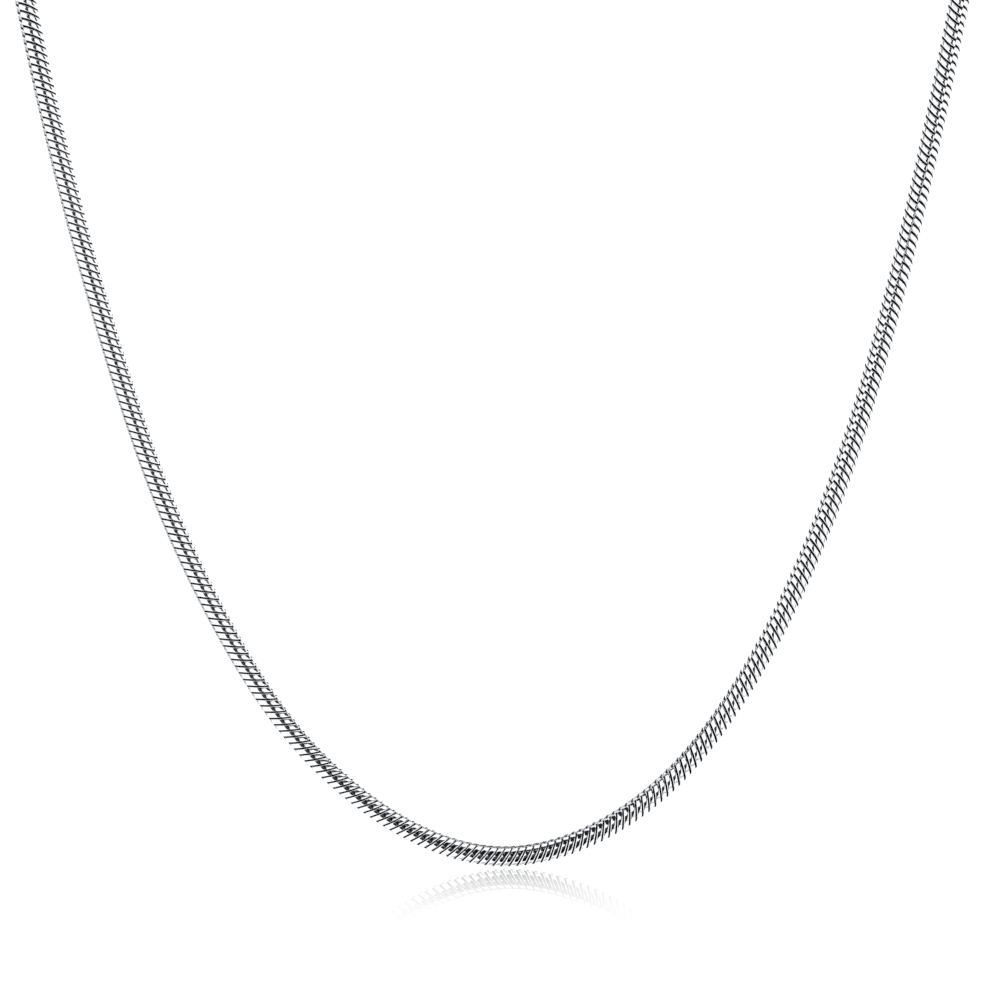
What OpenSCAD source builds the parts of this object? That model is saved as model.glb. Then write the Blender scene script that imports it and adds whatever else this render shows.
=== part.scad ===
// Snake chain necklace, a closed loop that keeps the form in which it hangs.
// Millimetres. +Z is up, -Y is the wearer's front and +X is to the right in a front view.
// The origin is at the nape, on the axis of the clasp barrel and half way along it.

/* [Chain] */
// Diameter of the chain over its links
chain_d = 3.0; // [2.6:0.1:3.4]

/* [Clasp] */
// Length of the clasp barrel
clasp_len = 20; // [18:1:24]
// Diameter of the clasp barrel
clasp_d = 5.4; // [5.2:0.2:6.4]
// Radius of the rounding at each end of the barrel
clasp_round = 0.8; // [0.3:0.1:0.8]
// Depth of the cup in each end of the barrel, which the chain sits in
cup_depth = 5; // [4:0.5:6.5]
// Width of the groove around the middle of the barrel
groove_w = 1.0; // [0.6:0.2:2]
// Depth of the groove around the middle of the barrel
groove_depth = 0.4; // [0.2:0.1:0.8]

/* [Fit] */
// Gap between the chain and the wall of its cup
cup_clearance = 0.15; // [0.1:0.05:0.25]
// Gap between the end of the chain and the floor of its cup
end_gap = 0.3; // [0.2:0.1:0.5]

/* [Hidden] */
$fn = 64;

// How far a cut runs past the face that it opens
cut_over = 1;

// Sides of the tube and the greatest distance between two of its rings
tube_sides = 8;
ring_step = 7.7;

// Steps in which each span of the curve is measured
steps_per_span = 12;

// A point inside the loop, so that a line from it to the chain never runs along the chain
loop_heart = [0, -48, -60];

// Where the chain ends, inside its cup
chain_end_x = clasp_len/2 - cup_depth + end_gap;

// The chain's route: from its left end in the clasp round the left side of the neck, down
// the left strand, over the lowest point, up the right strand and round to the clasp again.
// Both strands hang in one plane in front of the neck, on a curve close to a catenary.
ROUTE = [
    [-chain_end_x, 0, 0],
    [-11, 0, 0],
    [-16, 0, 0],
    [-26, -2.5, 0],
    [-43.5, -13, 1],
    [-58, -31, 3],
    [-66, -50, 4],
    [-69.5, -69, 4],
    [-70.5, -85, 1],
    [-69.5, -94, -7.5],
    [-66.5, -97, -20.5],
    [-62.5, -97, -43],
    [-56.5, -97, -69],
    [-49.5, -97, -93.5],
    [-43, -97, -110],
    [-33, -97, -129],
    [-23, -97, -140],
    [-12.5, -97, -147.5],
    [0, -97, -151.5],
    [13.5, -97, -147.5],
    [24.5, -97, -139.5],
    [33.5, -97, -127.5],
    [41.5, -97, -113],
    [50, -97, -92],
    [56.5, -97, -68.5],
    [61.5, -97, -48],
    [67.5, -97, -19],
    [69.5, -94, -7.5],
    [70.5, -85, 1],
    [69.5, -69, 4],
    [66, -50, 4],
    [58, -31, 3],
    [43.5, -13, 1],
    [26, -2.5, 0],
    [16, 0, 0],
    [11, 0, 0],
    [chain_end_x, 0, 0],
];

// One point more at each end lets the curve start and stop exactly at the route's own ends
route_last = len(ROUTE) - 1;
control = concat([2*ROUTE[0] - ROUTE[1]], ROUTE, [2*ROUTE[route_last] - ROUTE[route_last - 1]]);

// A uniform cubic B-spline: the curve parameter u counts spans from 0 to span_count
span_count = len(control) - 3;

function unit(v) = v/norm(v);

function span_of(u) = min(floor(u), span_count - 1);

function spline_point(a, b, c, d, t) =
    (a*pow(1 - t, 3)
    + b*(3*pow(t, 3) - 6*pow(t, 2) + 4)
    + c*(-3*pow(t, 3) + 3*pow(t, 2) + 3*t + 1)
    + d*pow(t, 3))/6;

function spline_slope(a, b, c, d, t) =
    (-a*pow(1 - t, 2)
    + b*(3*pow(t, 2) - 4*t)
    + c*(-3*pow(t, 2) + 2*t + 1)
    + d*pow(t, 2))/2;

function route_at(u) =
    let (i = span_of(u))
    spline_point(control[i], control[i + 1], control[i + 2], control[i + 3], u - i);

function heading_at(u) =
    let (i = span_of(u))
    unit(spline_slope(control[i], control[i + 1], control[i + 2], control[i + 3], u - i));

// Length along the route against the curve parameter, measured in short steps
measure_count = span_count*steps_per_span;
length_table = [
    for (
        i = 0, run = 0;
        i <= measure_count;
        run = run + norm(route_at((i + 1)/steps_per_span) - route_at(i/steps_per_span)),
        i = i + 1
    ) [run, i/steps_per_span]
];
route_len = length_table[measure_count][0];

// Rings of the tube, evenly spaced along the route, with one at its lowest point
ring_count = 2*ceil(route_len/(2*ring_step)) + 1;

// One ring of points around the route, turned so that its first point faces away from the heart
function tube_ring(u, radius) =
    let (
        centre = route_at(u),
        heading = heading_at(u),
        away = centre - loop_heart,
        outward = unit(away - (away*heading)*heading),
        sideways = cross(heading, outward)
    )
    [for (k = [0:tube_sides - 1])
        let (angle = 360*k/tube_sides)
        centre + radius*(cos(angle)*outward + sin(angle)*sideways)];

module swept_tube(radius) {
    points = [
        for (i = [0:ring_count - 1])
            each tube_ring(lookup(route_len*i/(ring_count - 1), length_table), radius)
    ];
    walls = [
        for (i = [0:ring_count - 2], k = [0:tube_sides - 1])
            let (
                here = i*tube_sides,
                next = here + tube_sides,
                turn = (k + 1) % tube_sides
            )
            each [
                [here + k, next + turn, here + turn],
                [here + k, next + k, next + turn],
            ]
    ];
    last_ring = (ring_count - 1)*tube_sides;
    first_cap = [for (k = [0:tube_sides - 1]) k];
    last_cap = [for (k = [tube_sides - 1:-1:0]) last_ring + k];
    polyhedron(points = points, faces = concat(walls, [first_cap, last_cap]));
}

// The chain's envelope: a slim tube along the whole route
module chain() {
    color([0.83, 0.84, 0.86]) swept_tube(chain_d/2);
}

// Half of the barrel's outline, from its axis outwards, with round corners
module barrel_outline() {
    square([clasp_d/2 - clasp_round, clasp_len]);
    translate([0, clasp_round]) square([clasp_d/2, clasp_len - 2*clasp_round]);
    for (end = [clasp_round, clasp_len - clasp_round])
        translate([clasp_d/2 - clasp_round, end]) circle(r = clasp_round);
}

// The clasp: one plain barrel with a cup in each end and a groove around its middle
module clasp() {
    cup_d = chain_d + 2*cup_clearance;
    color([0.78, 0.79, 0.81])
        translate([-clasp_len/2, 0, 0]) rotate([0, 90, 0]) difference() {
            rotate_extrude() barrel_outline();
            translate([0, 0, -cut_over]) cylinder(d = cup_d, h = cup_depth + cut_over);
            translate([0, 0, clasp_len - cup_depth]) cylinder(d = cup_d, h = cup_depth + cut_over);
            rotate_extrude()
                translate([clasp_d/2 - groove_depth, clasp_len/2 - groove_w/2])
                    square([groove_depth + cut_over, groove_w]);
        }
}

chain();
clasp();
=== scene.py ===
"""Looks of the snake chain necklace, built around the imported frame. Metres, +Z up, -Y to the front."""
import math

import bpy
import numpy as np
from mathutils import Matrix, Vector


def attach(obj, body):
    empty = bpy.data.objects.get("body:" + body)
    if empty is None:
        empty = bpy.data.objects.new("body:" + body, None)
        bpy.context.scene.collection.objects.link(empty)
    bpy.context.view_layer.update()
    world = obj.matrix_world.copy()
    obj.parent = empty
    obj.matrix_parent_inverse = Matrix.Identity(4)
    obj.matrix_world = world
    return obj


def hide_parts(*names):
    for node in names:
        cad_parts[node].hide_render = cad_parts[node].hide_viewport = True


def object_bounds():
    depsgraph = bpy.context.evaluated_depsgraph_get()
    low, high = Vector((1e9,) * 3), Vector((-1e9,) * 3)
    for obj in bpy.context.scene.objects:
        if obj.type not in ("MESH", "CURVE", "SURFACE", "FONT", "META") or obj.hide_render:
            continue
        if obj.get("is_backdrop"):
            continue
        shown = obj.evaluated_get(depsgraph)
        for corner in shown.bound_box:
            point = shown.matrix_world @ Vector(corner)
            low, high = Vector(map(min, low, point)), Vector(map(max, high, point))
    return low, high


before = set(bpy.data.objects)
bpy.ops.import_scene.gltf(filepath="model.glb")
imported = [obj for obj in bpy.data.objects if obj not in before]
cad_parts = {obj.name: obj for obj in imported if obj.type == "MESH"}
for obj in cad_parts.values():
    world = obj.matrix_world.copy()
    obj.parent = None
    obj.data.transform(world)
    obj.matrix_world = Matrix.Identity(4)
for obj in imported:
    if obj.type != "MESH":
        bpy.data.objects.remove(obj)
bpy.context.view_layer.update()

MM = 0.001

# The chain's route, point for point as in the part's source: from its left end in the clasp
# round the neck, down the left strand, up the right one and back to the clasp
ROUTE = [
    (-0.0053, 0, 0),
    (-0.011, 0, 0),
    (-0.016, 0, 0),
    (-0.026, -0.0025, 0),
    (-0.0435, -0.013, 0.001),
    (-0.058, -0.031, 0.003),
    (-0.066, -0.05, 0.004),
    (-0.0695, -0.069, 0.004),
    (-0.0705, -0.085, 0.001),
    (-0.0695, -0.094, -0.0075),
    (-0.0665, -0.097, -0.0205),
    (-0.0625, -0.097, -0.043),
    (-0.0565, -0.097, -0.069),
    (-0.0495, -0.097, -0.0935),
    (-0.043, -0.097, -0.11),
    (-0.033, -0.097, -0.129),
    (-0.023, -0.097, -0.14),
    (-0.0125, -0.097, -0.1475),
    (0, -0.097, -0.1515),
    (0.0135, -0.097, -0.1475),
    (0.0245, -0.097, -0.1395),
    (0.0335, -0.097, -0.1275),
    (0.0415, -0.097, -0.113),
    (0.05, -0.097, -0.092),
    (0.0565, -0.097, -0.0685),
    (0.0615, -0.097, -0.048),
    (0.0675, -0.097, -0.019),
    (0.0695, -0.094, -0.0075),
    (0.0705, -0.085, 0.001),
    (0.0695, -0.069, 0.004),
    (0.066, -0.05, 0.004),
    (0.058, -0.031, 0.003),
    (0.0435, -0.013, 0.001),
    (0.026, -0.0025, 0),
    (0.016, 0, 0),
    (0.011, 0, 0),
    (0.0053, 0, 0),
]
STEPS_PER_SPAN = 60

# The chain
CHAIN_RADIUS = 1.5 * MM
PLATES_PER_LINK = 3
PLATE_HALF_DEG = 180 / PLATES_PER_LINK

# How the links are spaced: arc length from the chain's left end, and the number of links up to
# there. The last row stands at the chain's right end, wherever the route puts it.
LINK_COUNTS = (
    (0.000, 0),
    (0.160, 148),
    (0.190, 176),
    (0.220, 203.8),
    (0.250, 231.3),
    (0.275, 254.3),
    (0.290, 268.3),
    (0.300, 277.8),
    (0.325, 300.8),
    (0.335, 309.7),
    (0.345, 318.8),
    (0.400, 368.6),
    (0.425, 391.3),
    (0.5985, 548),
)

# How wide the plates are along the chain: arc length from the chain's left end, and the width
# that they are stretched to there
PLATE_WIDTHS = (
    (0.160, 0.80 * MM),
    (0.175, 0.86 * MM),
    (0.300, 0.86 * MM),
    (0.330, 0.82 * MM),
    (0.440, 0.81 * MM),
)

# One plate of a link: its edges climb along the chain as they go round it, up to the climb's
# end, and its sections stand at the stations, in degrees either way from its middle
EDGE_CLIMB = 1.58 * MM
CLIMB_END_DEG = 57
SEAM_GAP_DEG = 0.3
PLATE_STATIONS_DEG = (0, 11, 22, 33, 43, 50, 54, 57, 59)
PLATE_WIDTH = 0.86 * MM
PLATE_DEPTH = 0.36 * MM

# The plate's crown: how far its edges and its ends lie below its middle, and the steps that
# its crown and each rounded edge are made in
CROWN_DROP = 0.005 * MM
SEAM_DROP = 0.01 * MM
CROWN_STEPS = 4
EDGE_ROUND_WIDTH = 0.16 * MM
EDGE_ROUND_DEPTH = 0.09 * MM
EDGE_STEPS = 3

# How far each corner of a plate is cut back: by the plate's first or last end round the chain
# and by its low or high edge along the chain
CORNER_CUTS = {
    ("first", "low"): 0.03 * MM,
    ("first", "high"): 0.11 * MM,
    ("last", "low"): 0.12 * MM,
    ("last", "high"): 0.06 * MM,
}

# The ring inside each link, which carries its plates and closes the grooves; all of it carries
# the painted groove shade, so the grooves show dark. It is stretched to fill its share of the link's own
# length.
RING_OUTSIDE = CHAIN_RADIUS - 0.33 * MM
RING_INSIDE = CHAIN_RADIUS - 0.55 * MM
RING_LENGTH = 1.07 * MM
RING_SHARE = 0.985
RING_SIDES = 12

# How the links turn about the chain: arc length from the chain's left end, and the angle of
# their first seam from the front in degrees
TWIST = (
    (0.140, -86),
    (0.165, -78),
    (0.180, -72),
    (0.195, -66),
    (0.210, -64),
    (0.225, -66),
    (0.240, -64),
    (0.255, -60),
    (0.270, -58),
    (0.285, -60),
    (0.300, -57),
    (0.310, -54),
    (0.325, -50),
    (0.335, -52),
    (0.345, -50),
    (0.360, -45),
    (0.375, -34),
    (0.390, -21),
    (0.400, -14),
    (0.415, 3),
    (0.430, 16),
    (0.435, 19),
    (0.460, 24),
)

# Mesh pieces that the links are joined into, round the loop from its left end
LINK_PIECES = ("links_back_left", "links_left", "links_front", "links_right", "links_back_right")

# The camera, at the photograph's viewing angle
CAMERA_AZIMUTH = 0
CAMERA_ELEVATION = 4
CAMERA_ROLL = -0.92
CAMERA_DISTANCE = 0.7
CAMERA_TARGET = (-0.00007, -0.097, -0.09991)
CAMERA_NEAR = 0.01
CAMERA_FAR = 20
PIXELS_PER_METRE = 7143
IMAGE_SIZE = 1000
SENSOR = 36

# The white of the floor and of what lies behind the object, a little over full
PLAIN_WHITE = 1.05

# The floor: its place under the chain, and its faint gloss, which fades away from the strands'
# plane and to the sides
FLOOR_GAP = 0.10 * MM
FLOOR_HALF = 3.0
MIRROR_SHARE = 0.56
MIRROR_FADE = 0.022
MIRROR_HALF = 0.05
MIRROR_SIDE_SOFT = 0.015
MIRROR_ROUGHNESS = 0.02

# The light: soft white all round, with darker parts of the studio. First come two soft strips
# across the ceiling, over and behind the object: each row gives the strip's near and far angle
# over the camera's side, the softness of its edges in degrees, its reach to either side, and its
# colour.
STUDIO_WHITE = (1.14, 1.15, 1.16)
STUDIO_BLACK = (0.002, 0.002, 0.003)
CEILING_GREY = (0.04, 0.05, 0.07)
CEILING_PARTS = (
    (102, 126, 4, 0.8, CEILING_GREY),
    (126, 150, 4, 0.2, CEILING_GREY),
)
CEILING_SIDE_SOFT = 0.1

# Over the strips lie the rest. Each row gives a part's middle and half width in degrees round
# from the camera's side, how far its middle moves round for each degree upwards, its lowest and
# highest angle over the horizon, the softness of its edge in degrees, and its colour. A later row
# lies over an earlier one.
STUDIO_PARTS = (
    (0, 200, 0, -95, -74, 4, (0.52, 0.55, 0.58)),
    (-115, 26, 0, -34, -4, 5, (0.45, 0.47, 0.50)),
    (45, 26, 0, -42, -35, 2.5, (0.42, 0.45, 0.48)),
    (92, 13, 0, -34, -16, 3, (0.48, 0.50, 0.53)),
    (-92, 12, 0, 11, 20, 3, (0.28, 0.30, 0.33)),
    (-104, 28, 0, 25, 37, 3, (0.10, 0.12, 0.15)),
    (-113, 14, 0, 39, 62, 3, STUDIO_WHITE),
    (-150, 8, 0, 22, 34, 3, (0.08, 0.10, 0.13)),
    (-86, 8, 0, 21, 46, 2.5, (0.015, 0.02, 0.03)),
    (82, 14, 0, 8, 14.5, 2, (0.02, 0.03, 0.05)),
    (79, 12, 0, 13, 22, 2, (0.02, 0.035, 0.06)),
    (77, 21, 0, 22, 31, 2.5, (0.012, 0.018, 0.03)),
    (66, 32, 0, 28, 39, 2.5, (0.025, 0.035, 0.05)),
    (-13.4, 10, 1.7, 13, 30, 2.5, (0.13, 0.155, 0.19)),
    (27, 15, 0, 26, 46, 3, (0.012, 0.018, 0.03)),
    (-80, 15, 0, 38, 57, 3, (0.02, 0.025, 0.035)),
    (-27, 46, 0, 43, 61, 3, (0.010, 0.014, 0.022)),
    (32.6, 15, -1.4, 14, 48, 2, (0.012, 0.015, 0.02)),
    (6, 10, 0, 2, 60, 2, (0.006, 0.008, 0.012)),
    (-8.5, 16.5, -0.4, -62, -23, 2, STUDIO_BLACK),
    (-3, 16, -0.2, -24, -8, 1.5, STUDIO_BLACK),
    (-3, 13.5, 0, -9, 4, 1.5, STUDIO_BLACK),
    (-1, 2.5, 0, -27, 5, 2, (0.09, 0.10, 0.11)),
)


def spline_point(points, t):
    """A uniform cubic B-spline's point for four control points at share t of the span."""
    a, b, c, d = points
    return (
        a * (1 - t) ** 3
        + b * (3 * t**3 - 6 * t**2 + 4)
        + c * (-3 * t**3 + 3 * t**2 + 3 * t + 1)
        + d * t**3
    ) / 6


def route_line():
    """Close points along the route and the arc length at each."""
    route = np.array(ROUTE, float)
    control = np.vstack([2 * route[0] - route[1], route, 2 * route[-1] - route[-2]])
    spans = len(control) - 3
    line = []
    for span in range(spans):
        for step in range(STEPS_PER_SPAN):
            line.append(spline_point(control[span:span + 4], step / STEPS_PER_SPAN))
    line.append(spline_point(control[spans - 1:spans + 3], 1))
    line = np.array(line)
    arc = np.concatenate([[0], np.cumsum(np.linalg.norm(np.diff(line, axis=0), axis=1))])
    return line, arc


def unit(vectors):
    """The vectors at length one."""
    return vectors / np.linalg.norm(vectors, axis=-1, keepdims=True)


def carried_fronts(line, headings):
    """A direction square to the route at each point, facing the front at the lowest point and
    carried along from there without turning about the route."""
    lowest = int(np.argmin(line[:, 2]))
    fronts = np.zeros_like(line)
    for order in (range(lowest, len(line)), range(lowest, -1, -1)):
        front = np.array([0, -1, 0], float)
        for i in order:
            front = unit(front - headings[i] * (front @ headings[i]))
            fronts[i] = front
    return fronts


def sampled(values, arc, at):
    """The rows of values, known at the arc lengths arc, at those in at."""
    return np.stack([np.interp(at, arc, values[:, k]) for k in range(3)], 1)


def link_frames():
    """For each link: its centre, its directions along the chain, to its first seam and square to
    both, and how far its plates and its ring are stretched along the chain, as arrays."""
    line, arc = route_line()
    headings = unit(np.gradient(line, arc, axis=0))
    fronts = carried_fronts(line, headings)
    arcs, counts = np.array(LINK_COUNTS, float).T
    arcs[-1] = arc[-1]
    ends = np.interp(np.arange(counts[-1] + 1), counts, arcs)
    at = (ends[1:] + ends[:-1]) / 2
    widths = np.array(PLATE_WIDTHS)
    plate_stretch = np.interp(at, widths[:, 0], widths[:, 1]) / PLATE_WIDTH
    ring_stretch = (ends[1:] - ends[:-1]) * RING_SHARE / RING_LENGTH
    centres = sampled(line, arc, at)
    along = unit(sampled(headings, arc, at))
    front = sampled(fronts, arc, at)
    front = unit(front - along * (front * along).sum(1, keepdims=True))
    outer = np.cross(along, front)
    twists = np.array(TWIST)
    turn = np.radians(np.interp(at, twists[:, 0], twists[:, 1]))[:, None]
    first = front * np.cos(turn) + outer * np.sin(turn)
    second = outer * np.cos(turn) - front * np.sin(turn)
    return centres, along, first, second, np.stack([plate_stretch, ring_stretch], 1)


def corner_cut(distance, end, edge):
    """How far a cut corner takes that edge back, at a distance from that end of the plate."""
    return max(CORNER_CUTS[end, edge] - distance, 0)


def plate_section(low, high):
    """The plate's closed section: places along the chain and drops below its crown, and for each
    stretch of it whether it is polished silver or carries the painted groove shade."""
    rounding = []
    for step in range(EDGE_STEPS + 1):
        angle = math.pi / 2 * step / EDGE_STEPS
        inset = EDGE_ROUND_WIDTH * (1 - math.cos(angle))
        drop = CROWN_DROP + EDGE_ROUND_DEPTH * (1 - math.sin(angle))
        rounding.append((inset, drop))
    points = [(low, PLATE_DEPTH)]
    polished = []
    # The first stretch runs down the low flank and carries the painted groove shade; the rounded edge
    # above it is polished
    for step, (inset, drop) in enumerate(rounding):
        points.append((low + inset, drop))
        polished.append(step > 0)
    middle = (low + high) / 2
    half = (high - low) / 2 - EDGE_ROUND_WIDTH
    for step in range(1, CROWN_STEPS):
        share = 2 * step / CROWN_STEPS - 1
        points.append((middle + share * half, CROWN_DROP * share**2))
        polished.append(True)
    for inset, drop in reversed(rounding):
        points.append((high - inset, drop))
        polished.append(True)
    points.append((high, PLATE_DEPTH))
    # The high flank and the underside carry the painted groove shade
    polished.extend([False, False])
    return points, polished


def plate_mesh():
    """One plate around its own middle: points as (along, angle, radius), faces, and for each
    face whether it is polished silver or painted groove shade, and whether it is smooth."""
    end = PLATE_HALF_DEG - SEAM_GAP_DEG / 2
    stations = [-end] + [-s for s in PLATE_STATIONS_DEG[:0:-1]] + list(PLATE_STATIONS_DEG) + [end]
    climb_end = math.sin(math.radians(CLIMB_END_DEG))
    points = []
    faces = []
    polished = []
    smooth = []
    for i, degrees in enumerate(stations):
        bent = max(-CLIMB_END_DEG, min(CLIMB_END_DEG, degrees))
        climb = -EDGE_CLIMB / 2 * math.sin(math.radians(bent)) / climb_end
        from_end = math.radians(PLATE_HALF_DEG - abs(degrees)) * CHAIN_RADIUS
        end_name = "first" if degrees < 0 else "last"
        low = climb - PLATE_WIDTH / 2 + corner_cut(from_end, end_name, "low")
        high = climb + PLATE_WIDTH / 2 - corner_cut(from_end, end_name, "high")
        section, shiny = plate_section(low, high)
        size = len(section)
        drop = SEAM_DROP if i in (0, len(stations) - 1) else 0
        for place, depth in section:
            points.append((place, math.radians(degrees), CHAIN_RADIUS - depth - drop))
        if i == 0:
            continue
        before = (i - 1) * size
        for k in range(size):
            near = before + k
            near_next = before + (k + 1) % size
            faces.append((near, near_next, near_next + size, near + size))
            polished.append(shiny[k])
            smooth.append(shiny[k])
    last = len(points) - size
    faces.append(tuple(range(size - 1, -1, -1)))
    faces.append(tuple(range(last, last + size)))
    polished.extend([True, True])
    smooth.extend([False, False])
    return points, faces, polished, smooth


def ring_mesh():
    """The ring that carries the plates, in the same form, all of it painted groove shade."""
    half = RING_LENGTH / 2
    corners = [(-half, RING_INSIDE), (-half, RING_OUTSIDE), (half, RING_OUTSIDE), (half, RING_INSIDE)]
    size = len(corners)
    points = []
    faces = []
    for side in range(RING_SIDES):
        for place, radius in corners:
            points.append((place, 2 * math.pi * side / RING_SIDES, radius))
        here = side * size
        after = (side + 1) % RING_SIDES * size
        for k in range(size):
            turn = (k + 1) % size
            faces.append((here + k, here + turn, after + turn, after + k))
    return points, faces, [False] * len(faces), [False] * len(faces)


def link_mesh():
    """One whole link in its own frame, x along the chain and y to its first seam, with the number
    of its points that belong to plates."""
    parts = []
    for plate in range(PLATES_PER_LINK):
        parts.append((plate_mesh(), 2 * math.pi * (plate + 0.5) / PLATES_PER_LINK))
    parts.append((ring_mesh(), 0))
    points = []
    faces = []
    polished = []
    smooth = []
    for (part_points, part_faces, part_polished, part_smooth), turn in parts:
        base = len(points)
        points += [(place, angle + turn, radius) for place, angle, radius in part_points]
        faces += [tuple(base + v for v in face) for face in part_faces]
        polished += part_polished
        smooth += part_smooth
    along, angles, radii = np.array(points).T
    places = np.stack([along, radii * np.cos(angles), radii * np.sin(angles)], 1)
    # The ring comes last, so the points before its first one are the plates'
    return places, faces, polished, smooth, base


def joined_links(name, frames, link, materials):
    """One mesh object that holds the link once for each of the frames."""
    centres, along, first, second, stretches = frames
    places, faces, polished, smooth, plate_points = link
    count = len(centres)
    on_ring = (np.arange(len(places)) >= plate_points).astype(int)
    stretched = np.repeat(places[None], count, 0)
    stretched[:, :, 0] *= stretches[:, on_ring]
    axes = np.stack([along, first, second], 1)
    points = (stretched @ axes + centres[:, None, :]).reshape(-1, 3)
    corners = np.concatenate([np.array(face) for face in faces])
    sizes = np.array([len(face) for face in faces])
    starts = np.concatenate([[0], np.cumsum(sizes)[:-1]])
    copy = np.arange(count)[:, None]
    all_corners = corners + copy * len(places)
    all_starts = starts + copy * len(corners)
    # Slot 0 is the polished silver, slot 1 the painted groove shade
    slots = np.where(polished, 0, 1)
    mesh = bpy.data.meshes.new(name)
    mesh.vertices.add(len(points))
    mesh.vertices.foreach_set("co", points.astype(np.float32).ravel())
    mesh.loops.add(len(corners) * count)
    mesh.loops.foreach_set("vertex_index", all_corners.ravel().astype(np.int32))
    mesh.polygons.add(len(faces) * count)
    mesh.polygons.foreach_set("loop_start", all_starts.ravel().astype(np.int32))
    mesh.polygons.foreach_set("material_index", np.tile(slots, count).astype(np.int32))
    mesh.polygons.foreach_set("use_smooth", np.tile(np.array(smooth, bool), count))
    mesh.update(calc_edges=True)
    mesh.validate()
    for material in materials:
        mesh.materials.append(material)
    piece = bpy.data.objects.new(name, mesh)
    bpy.context.scene.collection.objects.link(piece)
    return piece


def new_material(name):
    """A node material with its Principled shader and node tree."""
    material = bpy.data.materials.new(name)
    material.use_nodes = True
    tree = material.node_tree
    return material, tree, tree.nodes["Principled BSDF"]


def noise(tree, scale, detail):
    """A noise texture that lies in the object's own space."""
    place = tree.nodes.new("ShaderNodeTexCoord")
    texture = tree.nodes.new("ShaderNodeTexNoise")
    texture.inputs["Scale"].default_value = scale
    texture.inputs["Detail"].default_value = detail
    tree.links.new(place.outputs["Object"], texture.inputs["Vector"])
    return texture.outputs["Fac"]


def mixed(tree, share, before, after):
    """The colour before where the share is 0, and the colour after where it is 1. Each is three
    numbers or a node's output."""
    mix = tree.nodes.new("ShaderNodeMix")
    mix.data_type = "RGBA"
    tree.links.new(share, mix.inputs["Factor"])
    for name, colour in (("A", before), ("B", after)):
        if isinstance(colour, tuple):
            mix.inputs[name].default_value = (*colour, 1)
        else:
            tree.links.new(colour, mix.inputs[name])
    return mix.outputs["Result"]


def vary_tone(tree, shader, value, low, high):
    """The shader's colour runs from low to high with the value."""
    tree.links.new(mixed(tree, value, low, high), shader.inputs["Base Color"])


def vary_roughness(tree, shader, value, low, high):
    """The shader's roughness runs from low to high with the value."""
    node = tree.nodes.new("ShaderNodeMapRange")
    node.inputs["To Min"].default_value = low
    node.inputs["To Max"].default_value = high
    tree.links.new(value, node.inputs["Value"])
    tree.links.new(node.outputs["Result"], shader.inputs["Roughness"])


def polished_silver():
    """Bright silver, a little uneven in tone and polish."""
    material, tree, shader = new_material("polished_silver")
    shader.inputs["Metallic"].default_value = 1
    tone = noise(tree, scale=900, detail=3)
    polish = noise(tree, scale=2600, detail=2)
    vary_tone(tree, shader, tone, low=(0.90, 0.91, 0.92), high=(0.97, 0.97, 0.97))
    vary_roughness(tree, shader, polish, low=0.02, high=0.05)
    return material


def painted_groove_shade():
    """Painted shade down in the grooves: near-black on the plates' flanks and on the rings, standing in
    for the shade between the plates.
    """
    material, tree, shader = new_material("painted_groove_shade")
    shader.inputs["Metallic"].default_value = 0
    shader.inputs["Specular IOR Level"].default_value = 0.12
    tone = noise(tree, scale=1500, detail=2)
    vary_tone(tree, shader, tone, low=(0.003, 0.003, 0.004), high=(0.014, 0.014, 0.016))
    vary_roughness(tree, shader, tone, low=0.6, high=0.8)
    return material


def clasp_silver():
    """The barrel's silver, satin and a little uneven."""
    material, tree, shader = new_material("clasp_silver")
    shader.inputs["Metallic"].default_value = 1
    tone = noise(tree, scale=400, detail=4)
    polish = noise(tree, scale=3000, detail=3)
    vary_tone(tree, shader, tone, low=(0.80, 0.81, 0.83), high=(0.93, 0.93, 0.94))
    vary_roughness(tree, shader, polish, low=0.12, high=0.26)
    return material


def direction(azimuth, elevation):
    """A unit vector; azimuth 0 is -Y and turns towards +X, in degrees."""
    a = math.radians(azimuth)
    e = math.radians(elevation)
    return Vector((math.sin(a) * math.cos(e), -math.cos(a) * math.cos(e), math.sin(e)))


def make_camera():
    """The photograph's viewing angle."""
    data = bpy.data.cameras.new("camera")
    data.sensor_width = SENSOR
    data.lens = SENSOR * PIXELS_PER_METRE * CAMERA_DISTANCE / IMAGE_SIZE
    data.clip_start = CAMERA_NEAR
    data.clip_end = CAMERA_FAR
    camera = bpy.data.objects.new("camera", data)
    back = direction(CAMERA_AZIMUTH, CAMERA_ELEVATION)
    turn = back.to_track_quat("Z", "Y").to_matrix().to_4x4()
    roll = Matrix.Rotation(math.radians(CAMERA_ROLL), 4, "Z")
    place = Matrix.Translation(Vector(CAMERA_TARGET) + back * CAMERA_DISTANCE)
    camera.matrix_world = place @ turn @ roll
    bpy.context.scene.collection.objects.link(camera)
    bpy.context.scene.camera = camera


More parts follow.
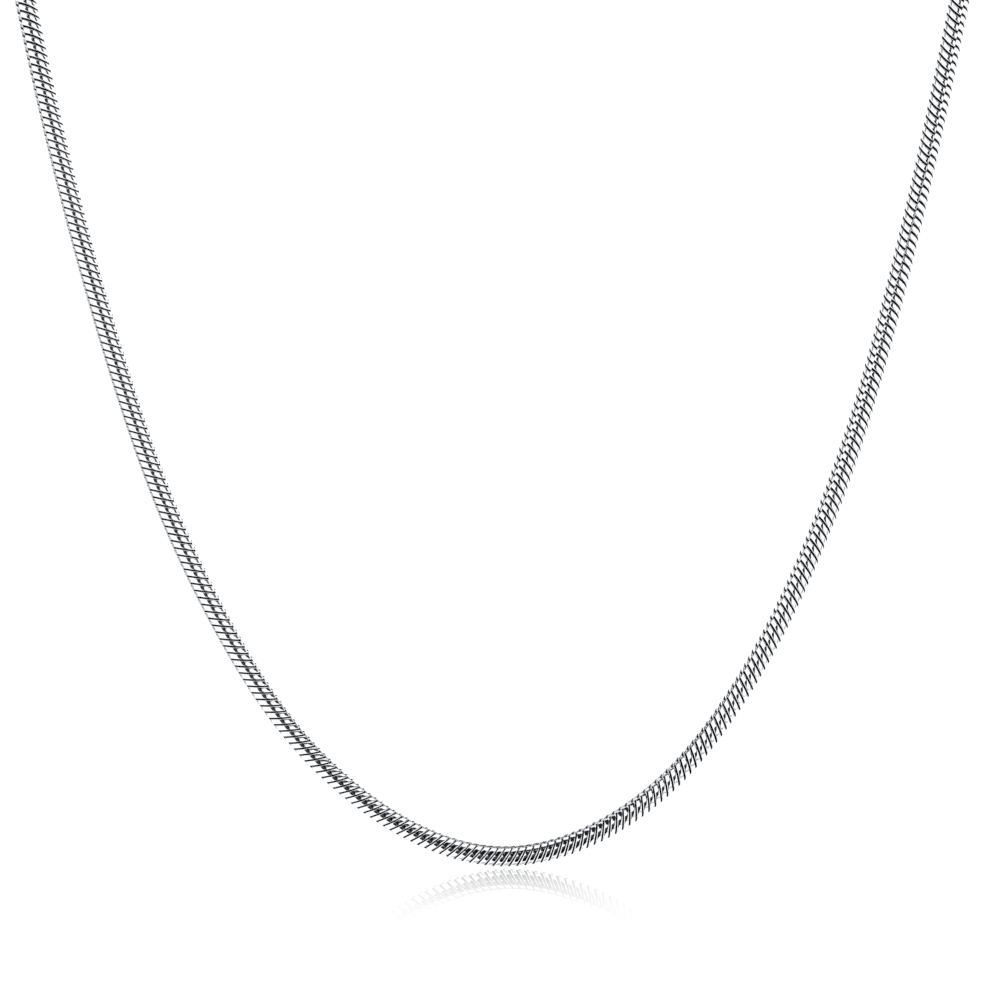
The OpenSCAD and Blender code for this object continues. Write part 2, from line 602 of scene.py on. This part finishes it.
class NodeMaths:
    """Short calls for the number nodes of a tree."""

    def __init__(self, tree):
        self.tree = tree

    def value(self, operation, *inputs):
        """The result of an operation on numbers or outputs of nodes."""
        node = self.tree.nodes.new("ShaderNodeMath")
        node.operation = operation
        for socket, entry in zip(node.inputs, inputs):
            if isinstance(entry, (int, float)):
                socket.default_value = entry
            else:
                self.tree.links.new(entry, socket)
        return node.outputs[0]

    def dot(self, vector, fixed):
        """How far a vector output reaches along a fixed direction."""
        node = self.tree.nodes.new("ShaderNodeVectorMath")
        node.operation = "DOT_PRODUCT"
        self.tree.links.new(vector, node.inputs[0])
        node.inputs[1].default_value = fixed
        return node.outputs["Value"]

    def smooth(self, value, low, high):
        """0 up to low, 1 from high on, and a smooth rise between them."""
        node = self.tree.nodes.new("ShaderNodeMapRange")
        node.interpolation_type = "SMOOTHSTEP"
        node.inputs["From Min"].default_value = low
        node.inputs["From Max"].default_value = high
        self.tree.links.new(value, node.inputs["Value"])
        return node.outputs["Result"]

    def window(self, value, low, high, soft):
        """1 between low and high, 0 outside, with soft edges."""
        rise = self.smooth(value, low - soft, low + soft)
        fall = self.smooth(value, high - soft, high + soft)
        return self.value("SUBTRACT", rise, fall)


def make_studio():
    """The light on the object, and plain white behind it."""
    world = bpy.data.worlds.new("studio")
    bpy.context.scene.world = world
    world.use_nodes = True
    tree = world.node_tree
    tree.nodes.clear()
    maths = NodeMaths(tree)
    where = tree.nodes.new("ShaderNodeTexCoord").outputs["Generated"]
    ahead = maths.dot(where, direction(CAMERA_AZIMUTH, 0))
    aside = maths.dot(where, direction(CAMERA_AZIMUTH + 90, 0))
    upward = maths.dot(where, (0, 0, 1))
    degree = math.radians(1)
    ahead_squared = maths.value("MULTIPLY", ahead, ahead)
    aside_squared = maths.value("MULTIPLY", aside, aside)
    level = maths.value("SQRT", maths.value("ADD", ahead_squared, aside_squared))
    azimuth = maths.value("DIVIDE", maths.value("ARCTAN2", aside, ahead), degree)
    elevation = maths.value("DIVIDE", maths.value("ARCTAN2", upward, level), degree)
    over = maths.value("DIVIDE", maths.value("ARCTAN2", upward, ahead), degree)
    colour = STUDIO_WHITE
    for low, high, soft, reach, shade in CEILING_PARTS:
        side_mask = maths.window(aside, -reach, reach, CEILING_SIDE_SOFT)
        over_mask = maths.window(over, low, high, soft)
        colour = mixed(tree, maths.value("MULTIPLY", over_mask, side_mask), colour, shade)
    for middle, half, lean, low, high, soft, shade in STUDIO_PARTS:
        upright = azimuth
        if lean:
            upright = maths.value("SUBTRACT", azimuth, maths.value("MULTIPLY", elevation, lean))
        round_mask = maths.window(upright, middle - half, middle + half, soft)
        height_mask = maths.window(elevation, low, high, soft)
        colour = mixed(tree, maths.value("MULTIPLY", round_mask, height_mask), colour, shade)
    rays = tree.nodes.new("ShaderNodeLightPath")
    backdrop = (PLAIN_WHITE, PLAIN_WHITE, PLAIN_WHITE)
    shown = mixed(tree, rays.outputs["Is Glossy Ray"], backdrop, colour)
    background = tree.nodes.new("ShaderNodeBackground")
    output = tree.nodes.new("ShaderNodeOutputWorld")
    tree.links.new(shown, background.inputs["Color"])
    tree.links.new(background.outputs[0], output.inputs["Surface"])


def make_floor(lowest):
    """A white floor just under the chain, faintly glossy close to its lowest links."""
    height = lowest - FLOOR_GAP
    signs = ((-1, -1), (1, -1), (1, 1), (-1, 1))
    corners = [(x * FLOOR_HALF, y * FLOOR_HALF, height) for x, y in signs]
    mesh = bpy.data.meshes.new("floor")
    mesh.from_pydata(corners, [], [(0, 1, 2, 3)])
    floor = bpy.data.objects.new("floor", mesh)
    bpy.context.scene.collection.objects.link(floor)
    floor.visible_glossy = False
    material, tree, shader = new_material("floor_white")
    shader.inputs["Base Color"].default_value = (0, 0, 0, 1)
    shader.inputs["Specular IOR Level"].default_value = 0
    shader.inputs["Emission Color"].default_value = (1, 1, 1, 1)
    shader.inputs["Emission Strength"].default_value = PLAIN_WHITE
    maths = NodeMaths(tree)
    gloss = tree.nodes.new("ShaderNodeBsdfGlossy")
    gloss.inputs["Color"].default_value = (1, 1, 1, 1)
    gloss.inputs["Roughness"].default_value = MIRROR_ROUGHNESS
    place = tree.nodes.new("ShaderNodeTexCoord")
    apart = tree.nodes.new("ShaderNodeSeparateXYZ")
    tree.links.new(place.outputs["Object"], apart.inputs[0])
    strands_y = ROUTE[len(ROUTE) // 2][1]
    away = maths.value("ABSOLUTE", maths.value("SUBTRACT", apart.outputs["Y"], strands_y))
    near = maths.value("EXPONENT", maths.value("DIVIDE", away, -MIRROR_FADE))
    side_mask = maths.window(apart.outputs["X"], -MIRROR_HALF, MIRROR_HALF, MIRROR_SIDE_SOFT)
    share = maths.value("MULTIPLY", maths.value("MULTIPLY", near, side_mask), MIRROR_SHARE)
    mix = tree.nodes.new("ShaderNodeMixShader")
    tree.links.new(share, mix.inputs["Fac"])
    tree.links.new(shader.outputs["BSDF"], mix.inputs[1])
    tree.links.new(gloss.outputs["BSDF"], mix.inputs[2])
    tree.links.new(mix.outputs[0], tree.nodes["Material Output"].inputs["Surface"])
    mesh.materials.append(material)
    floor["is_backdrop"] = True


def make_chain():
    """The links, joined into a few pieces that stand for the plain tube."""
    all_frames = link_frames()
    link = link_mesh()
    # The second material is the painted groove shade on the plates' flanks and the rings
    materials = (polished_silver(), painted_groove_shade())
    cuts = np.linspace(0, len(all_frames[0]), len(LINK_PIECES) + 1).round().astype(int)
    for name, start, stop in zip(LINK_PIECES, cuts[:-1], cuts[1:]):
        frames = [part[start:stop] for part in all_frames]
        piece = joined_links(name, frames, link, materials)
        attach(piece, "root")
        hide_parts("chain")


def finish_clasp():
    """The barrel keeps its shape and gets its finish."""
    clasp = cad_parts["clasp"]
    clasp.data.materials.clear()
    clasp.data.materials.append(clasp_silver())


make_camera()
make_studio()
make_chain()
finish_clasp()
make_floor(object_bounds()[0].z)
bpy.context.scene.view_settings.view_transform = "Standard"
